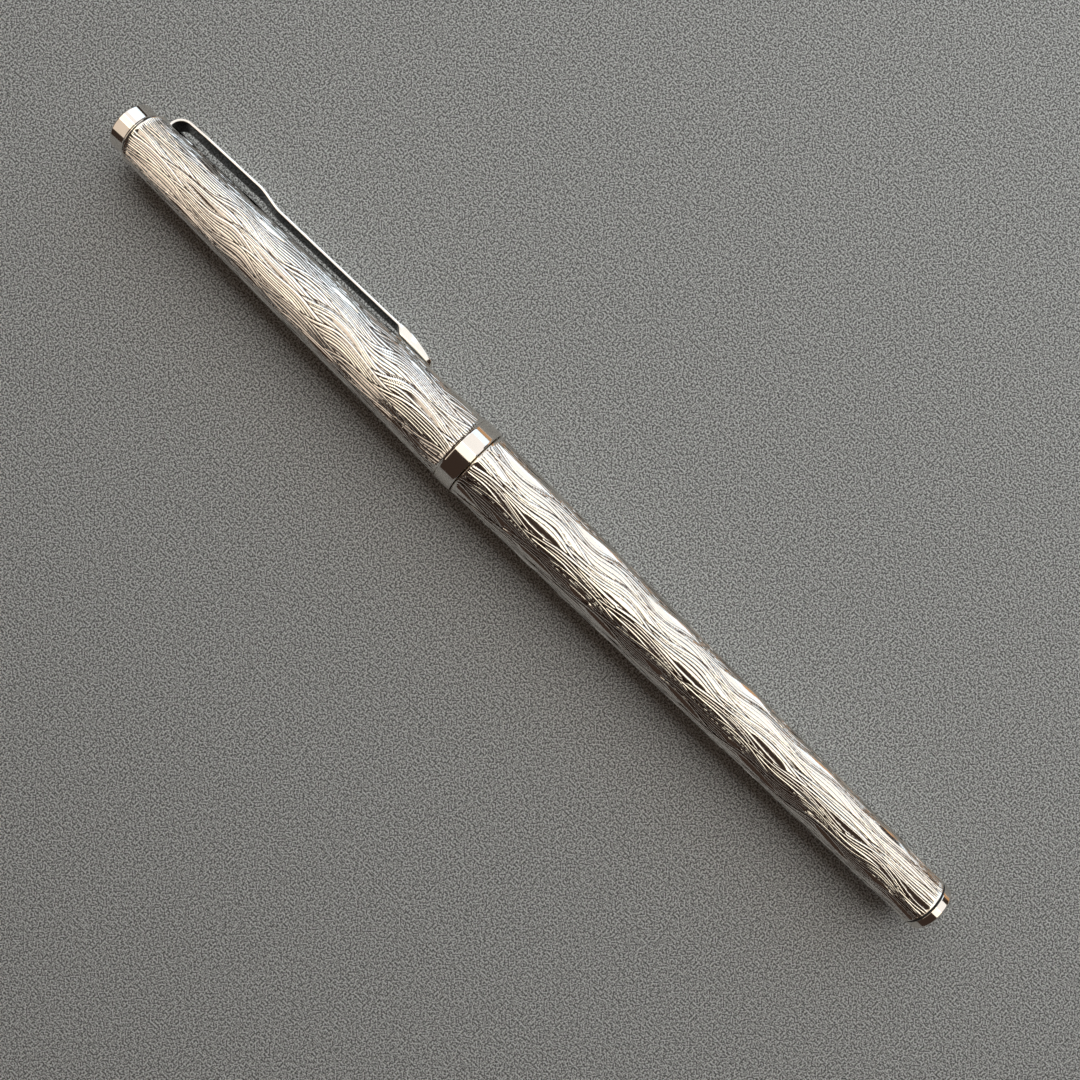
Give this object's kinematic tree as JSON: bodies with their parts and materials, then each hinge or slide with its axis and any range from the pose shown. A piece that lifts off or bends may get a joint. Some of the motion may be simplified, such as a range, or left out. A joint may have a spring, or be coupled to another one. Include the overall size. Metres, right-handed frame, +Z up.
{
  "type": "rollerball pen",
  "caption": "Slim capped rollerball pen with an engraved metal cap and barrel, side clip, screw-in grip section and sprung refill.",
  "frame": {"origin": "on the surface the pen lies on, below the middle of its bounding box", "axes": "+X along the pen towards the cap end, clip on the -Y side and 15 degrees below level with the axis, +Z up from the surface"},
  "size_m": [0.133, 0.0106, 0.0093],
  "materials": {
    "engraved_silver": "silver plate engraved with fine wavy bark lines along the pen, bright",
    "polished_silver": "mirror polished silver plate",
    "clip_silver": "polished silver plate with fine handling scratches",
    "black_rubber": "matt black rubber",
    "black_plastic": "moulded, matt",
    "grip_plastic": "black injection moulding, satin gloss",
    "white_plastic": "natural white polypropylene",
    "brass": "turned brass",
    "refill_steel": "drawn steel tube, satin",
    "point_steel": "ground stainless steel",
    "spring_steel": "bright spring wire",
    "ink_fibre": "ink-soaked polyester fibre"
  },
  "bodies": {
    "section": {"grip_section": "grip_plastic", "section_nose": "polished_silver", "section_ring": "polished_silver", "section_connector": "brass"},
    "refill": {"refill_tube": "refill_steel", "refill_front": "white_plastic", "refill_point": "point_steel", "writing_ball": "point_steel", "refill_end_plug": "white_plastic", "ink_reservoir": "ink_fibre", "ink_wick": "ink_fibre"},
    "cap": {"cap_tube": "engraved_silver", "cap_band": "polished_silver", "cap_end_button": "polished_silver", "cap_end_washer": "black_rubber", "clip_bush": "black_plastic", "inner_cap": "white_plastic", "cap_clutch": "brass"},
    "clip": {"clip": "clip_silver"},
    "spring": {"refill_spring": "spring_steel"},
    "spring_cup": {"spring_cup": "black_plastic"},
    "barrel": {"barrel_tube": "engraved_silver", "barrel_bush": "brass", "barrel_tail_plug": "black_plastic", "barrel_end_washer": "black_rubber", "barrel_end_button": "polished_silver"}
  },
  "joints": [
    {"name": "cap_pull", "type": "slide", "parent": "section", "child": "cap", "axis": [1, 0, 0], "range_m": [0, 0.05]},
    {"name": "clip_lift", "type": "hinge", "parent": "cap", "child": "clip", "pos_m": [0.063, -0.00265, 0.00375], "axis": [0, -0.2588, 0.9659], "range_deg": [0, 3], "stiffness_Nm_per_rad": 1, "springref_deg": -1.15},
    {"name": "refill_recoil", "type": "slide", "parent": "section", "child": "refill", "axis": [-1, 0, 0], "range_m": [0, 0.0008], "stiffness_N_per_m": 250, "springref_m": -0.004, "deforming": ["refill_spring"]},
    {"name": "barrel_pull", "type": "slide", "parent": "section", "child": "spring", "axis": [-1, 0, 0], "range_m": [0, 0.054]},
    {"name": "barrel_thread_travel", "type": "slide", "parent": "spring", "child": "spring_cup", "axis": [-1, 0, 0], "range_m": [0, 0.0045], "deforming": ["refill_spring"]},
    {"name": "barrel_turn", "type": "hinge", "parent": "spring_cup", "child": "barrel", "pos_m": [-0.0285, 0.00064, 0.00463], "axis": [-1, 0, 0], "range_deg": [0, 2160]}
  ],
  "couplings": [
    {"joint": "barrel_thread_travel", "follows": "barrel_turn", "m_per_rad": 0.00011937}
  ]
}
